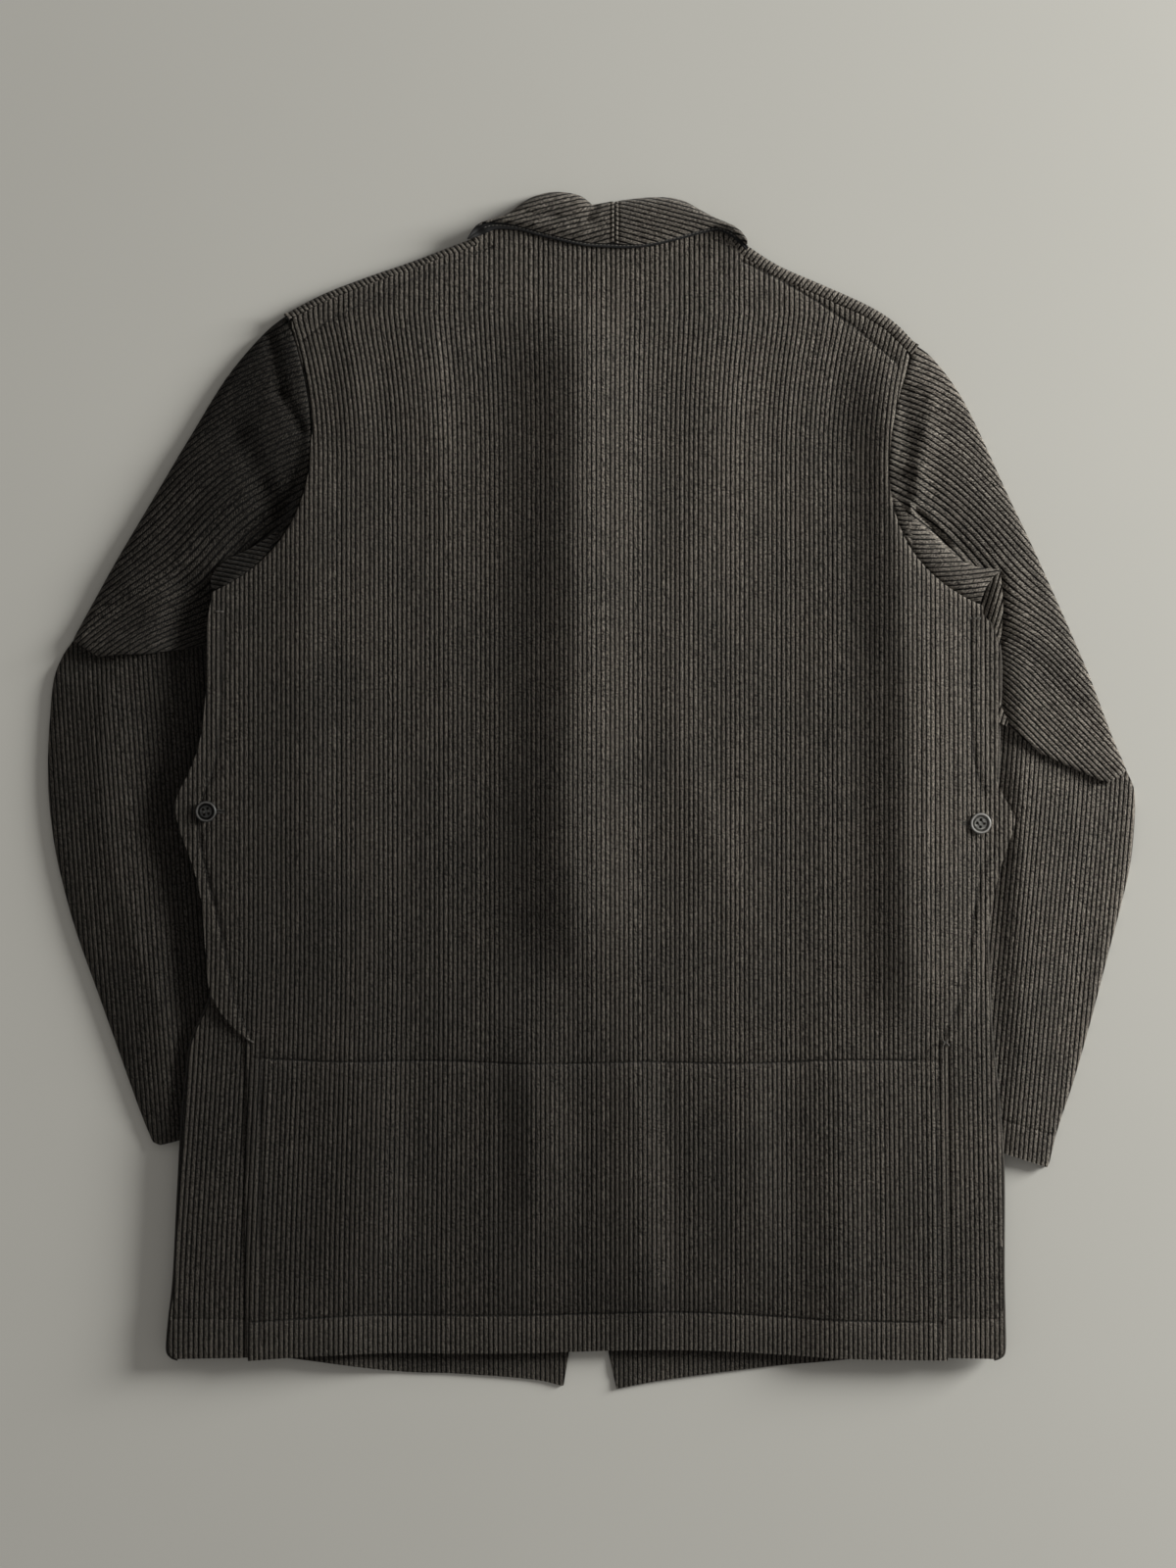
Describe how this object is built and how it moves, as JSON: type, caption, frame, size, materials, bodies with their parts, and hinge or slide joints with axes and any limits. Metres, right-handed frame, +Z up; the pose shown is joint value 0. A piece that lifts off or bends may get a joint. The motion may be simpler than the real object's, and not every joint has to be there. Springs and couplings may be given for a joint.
{
  "type": "hunting jacket",
  "caption": "Shawl-collared hunting jacket of ribbed salt-and-pepper cloth, laid flat on its front, with a game pouch across its back entered under buttoned side flaps.",
  "frame": {"origin": "on the surface that the jacket lies on, at the middle of its footprint", "axes": "+Z up from the surface through the jacket's back, +Y from the hem towards the collar, +X towards the wearer's right"},
  "size_m": [0.7781, 0.8559, 0.0181],
  "materials": {
    "ribbed_cloth": "matt ribbed cloth, dark with pale flecks",
    "inner_cloth": "matt plain cloth",
    "binding": "dark tape with a slight sheen",
    "horn": "dark horn, polished rim"
  },
  "bodies": {
    "root": {"back": "ribbed_cloth", "back_inner": "inner_cloth", "front_left": "ribbed_cloth", "front_right": "ribbed_cloth", "sleeve_left": "ribbed_cloth", "sleeve_right": "ribbed_cloth", "collar_left": "ribbed_cloth", "collar_right": "ribbed_cloth", "collar_binding": "binding", "button_left": "horn", "button_right": "horn"}
  },
  "joints": []
}
